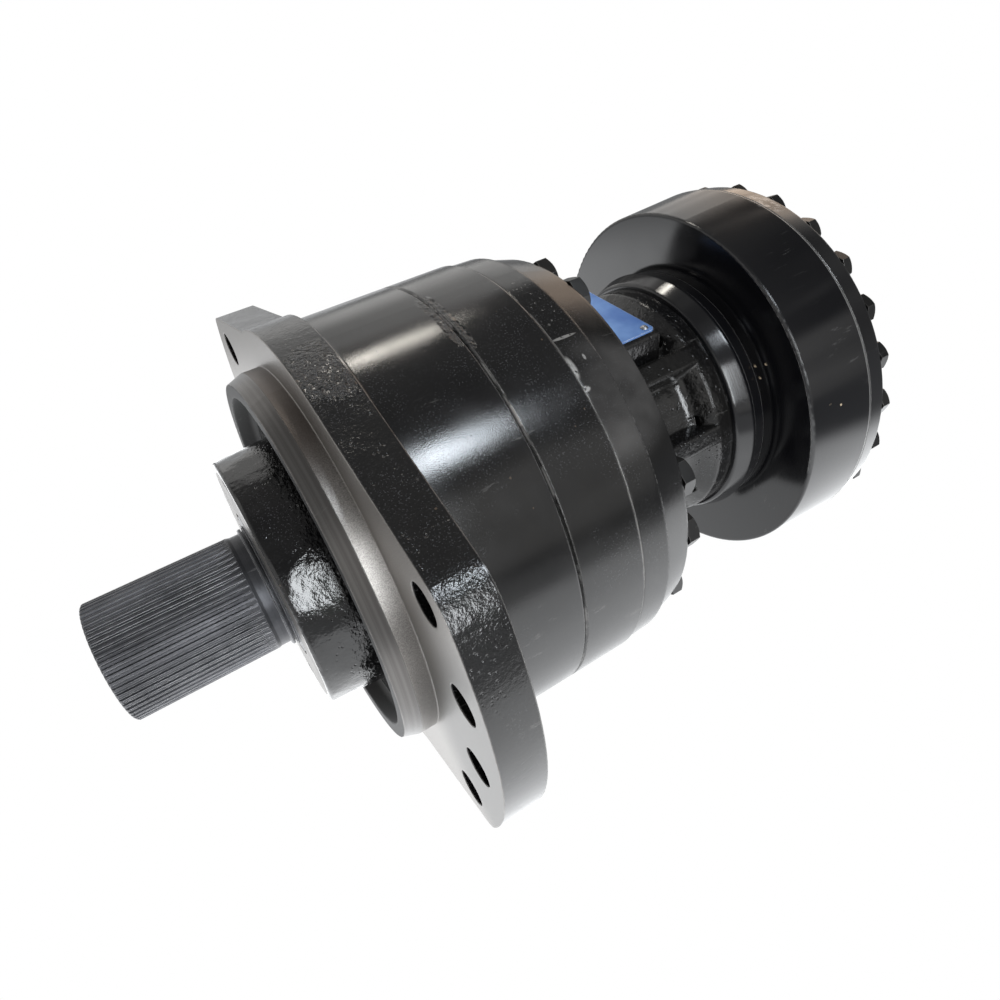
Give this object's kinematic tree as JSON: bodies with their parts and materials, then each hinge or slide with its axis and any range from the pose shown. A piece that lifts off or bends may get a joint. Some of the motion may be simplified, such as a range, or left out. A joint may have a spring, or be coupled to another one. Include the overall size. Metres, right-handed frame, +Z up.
{
  "type": "hydraulic drive motor",
  "caption": "Radial-piston hydraulic drive motor with splined shaft, lobed mounting flange, bolted black case, ribbed neck and multi-disc parking brake.",
  "frame": {"origin": "centre of the spigot at the flange's mounting face", "axes": "+X along the shaft from the splined end to the brake, +Z up out of the name plate's pad, +Y through one flange lobe"},
  "size_m": [0.3673, 0.282, 0.215],
  "materials": {
    "housing_paint": "semi-gloss black paint over rough casting",
    "brake_paint": "gloss black paint over turned steel",
    "shaft_steel": "dark phosphated steel with fine spline flanks",
    "bearing_steel": "ground bearing steel",
    "bare_iron": "bare turned cast iron",
    "steel": "bare machined steel",
    "rubber": "black sealing rubber",
    "plate": "blue anodised aluminium, bare of marks",
    "rivet": "dull rivet metal",
    "lining": "sintered brake lining",
    "bronze": "bearing bronze"
  },
  "bodies": {
    "housing": {"seal_cover": "bare_iron", "shaft_seal": "rubber", "front_housing": "housing_paint", "front_seal_ring": "rubber", "cam_ring": "housing_paint", "rear_seal_ring": "rubber", "distributor": "bare_iron", "distributor_rings": "rubber", "rear_case": "housing_paint", "case_neck": "housing_paint", "brake_adapter": "brake_paint", "case_bolts": "housing_paint", "name_plate": "plate", "plate_rivets": "rivet", "brake_bush": "bronze", "brake_housing": "brake_paint", "brake_hub_screws": "steel", "outer_brake_discs": "steel", "brake_disc_spring": "steel", "brake_cover": "brake_paint", "end_plug": "brake_paint", "brake_bolts": "brake_paint", "front_bearing_cup": "bearing_steel", "rear_bearing_cup": "bearing_steel"},
    "rotor": {"output_shaft": "shaft_steel", "front_bearing_cone": "bearing_steel", "rear_bearing_cone": "bearing_steel", "bearing_nut": "steel", "cylinder_block": "bare_iron", "brake_shaft": "steel", "inner_brake_discs": "lining"},
    "front_roller_set": {"front_bearing_cage": "steel", "front_bearing_rollers": "bearing_steel"},
    "rear_roller_set": {"rear_bearing_cage": "steel", "rear_bearing_rollers": "bearing_steel"},
    "brake_piston_body": {"brake_piston": "steel", "brake_piston_seal": "rubber"},
    "piston_body_1": {"piston_1": "steel"},
    "cam_roller_body_1": {"cam_roller_1": "bearing_steel"},
    "piston_body_2": {"piston_2": "steel"},
    "cam_roller_body_2": {"cam_roller_2": "bearing_steel"},
    "piston_body_3": {"piston_3": "steel"},
    "cam_roller_body_3": {"cam_roller_3": "bearing_steel"},
    "piston_body_4": {"piston_4": "steel"},
    "cam_roller_body_4": {"cam_roller_4": "bearing_steel"},
    "piston_body_5": {"piston_5": "steel"},
    "cam_roller_body_5": {"cam_roller_5": "bearing_steel"},
    "piston_body_6": {"piston_6": "steel"},
    "cam_roller_body_6": {"cam_roller_6": "bearing_steel"},
    "piston_body_7": {"piston_7": "steel"},
    "cam_roller_body_7": {"cam_roller_7": "bearing_steel"},
    "piston_body_8": {"piston_8": "steel"},
    "cam_roller_body_8": {"cam_roller_8": "bearing_steel"}
  },
  "joints": [
    {"name": "shaft_spin", "type": "hinge", "parent": "housing", "child": "rotor", "pos_m": [0, 0, 0], "axis": [1, 0, 0], "continuous": true},
    {"name": "front_rollers_orbit", "type": "hinge", "parent": "housing", "child": "front_roller_set", "pos_m": [0, 0, 0], "axis": [1, 0, 0], "continuous": true},
    {"name": "rear_rollers_orbit", "type": "hinge", "parent": "housing", "child": "rear_roller_set", "pos_m": [0, 0, 0], "axis": [1, 0, 0], "continuous": true},
    {"name": "brake_piston_slide", "type": "slide", "parent": "housing", "child": "brake_piston_body", "axis": [1, 0, 0], "range_m": [0, 0.002], "stiffness_N_per_m": 20000, "springref_m": -0.001, "deforming": ["brake_disc_spring"]},
    {"name": "piston_1_slide", "type": "slide", "parent": "rotor", "child": "piston_body_1", "axis": [0, 1, 0], "range_m": [0, 0.0047]},
    {"name": "cam_roller_1_spin", "type": "hinge", "parent": "piston_body_1", "child": "cam_roller_body_1", "pos_m": [0.08065, 0.059, 0], "axis": [1, 0, 0], "continuous": true},
    {"name": "piston_2_slide", "type": "slide", "parent": "rotor", "child": "piston_body_2", "axis": [0, 0.7071, 0.7071], "range_m": [0, 0.0047]},
    {"name": "cam_roller_2_spin", "type": "hinge", "parent": "piston_body_2", "child": "cam_roller_body_2", "pos_m": [0.08065, 0.04172, 0.04172], "axis": [1, 0, 0], "continuous": true},
    {"name": "piston_3_slide", "type": "slide", "parent": "rotor", "child": "piston_body_3", "axis": [0, 0, 1], "range_m": [0, 0.0047]},
    {"name": "cam_roller_3_spin", "type": "hinge", "parent": "piston_body_3", "child": "cam_roller_body_3", "pos_m": [0.08065, 0, 0.059], "axis": [1, 0, 0], "continuous": true},
    {"name": "piston_4_slide", "type": "slide", "parent": "rotor", "child": "piston_body_4", "axis": [0, -0.7071, 0.7071], "range_m": [0, 0.0047]},
    {"name": "cam_roller_4_spin", "type": "hinge", "parent": "piston_body_4", "child": "cam_roller_body_4", "pos_m": [0.08065, -0.04172, 0.04172], "axis": [1, 0, 0], "continuous": true},
    {"name": "piston_5_slide", "type": "slide", "parent": "rotor", "child": "piston_body_5", "axis": [0, -1, 0], "range_m": [0, 0.0047]},
    {"name": "cam_roller_5_spin", "type": "hinge", "parent": "piston_body_5", "child": "cam_roller_body_5", "pos_m": [0.08065, -0.059, 0], "axis": [1, 0, 0], "continuous": true},
    {"name": "piston_6_slide", "type": "slide", "parent": "rotor", "child": "piston_body_6", "axis": [0, -0.7071, -0.7071], "range_m": [0, 0.0047]},
    {"name": "cam_roller_6_spin", "type": "hinge", "parent": "piston_body_6", "child": "cam_roller_body_6", "pos_m": [0.08065, -0.04172, -0.04172], "axis": [1, 0, 0], "continuous": true},
    {"name": "piston_7_slide", "type": "slide", "parent": "rotor", "child": "piston_body_7", "axis": [0, 0, -1], "range_m": [0, 0.0047]},
    {"name": "cam_roller_7_spin", "type": "hinge", "parent": "piston_body_7", "child": "cam_roller_body_7", "pos_m": [0.08065, 0, -0.059], "axis": [1, 0, 0], "continuous": true},
    {"name": "piston_8_slide", "type": "slide", "parent": "rotor", "child": "piston_body_8", "axis": [0, 0.7071, -0.7071], "range_m": [0, 0.0047]},
    {"name": "cam_roller_8_spin", "type": "hinge", "parent": "piston_body_8", "child": "cam_roller_body_8", "pos_m": [0.08065, 0.04172, -0.04172], "axis": [1, 0, 0], "continuous": true}
  ],
  "couplings": [
    {"joint": "front_rollers_orbit", "follows": "shaft_spin", "ratio": 0.4548},
    {"joint": "rear_rollers_orbit", "follows": "shaft_spin", "ratio": 0.4541},
    {"joint": "piston_2_slide", "follows": "piston_1_slide", "ratio": 1},
    {"joint": "piston_3_slide", "follows": "piston_1_slide", "ratio": 1},
    {"joint": "piston_4_slide", "follows": "piston_1_slide", "ratio": 1},
    {"joint": "piston_5_slide", "follows": "piston_1_slide", "ratio": 1},
    {"joint": "piston_6_slide", "follows": "piston_1_slide", "ratio": 1},
    {"joint": "piston_7_slide", "follows": "piston_1_slide", "ratio": 1},
    {"joint": "piston_8_slide", "follows": "piston_1_slide", "ratio": 1}
  ]
}
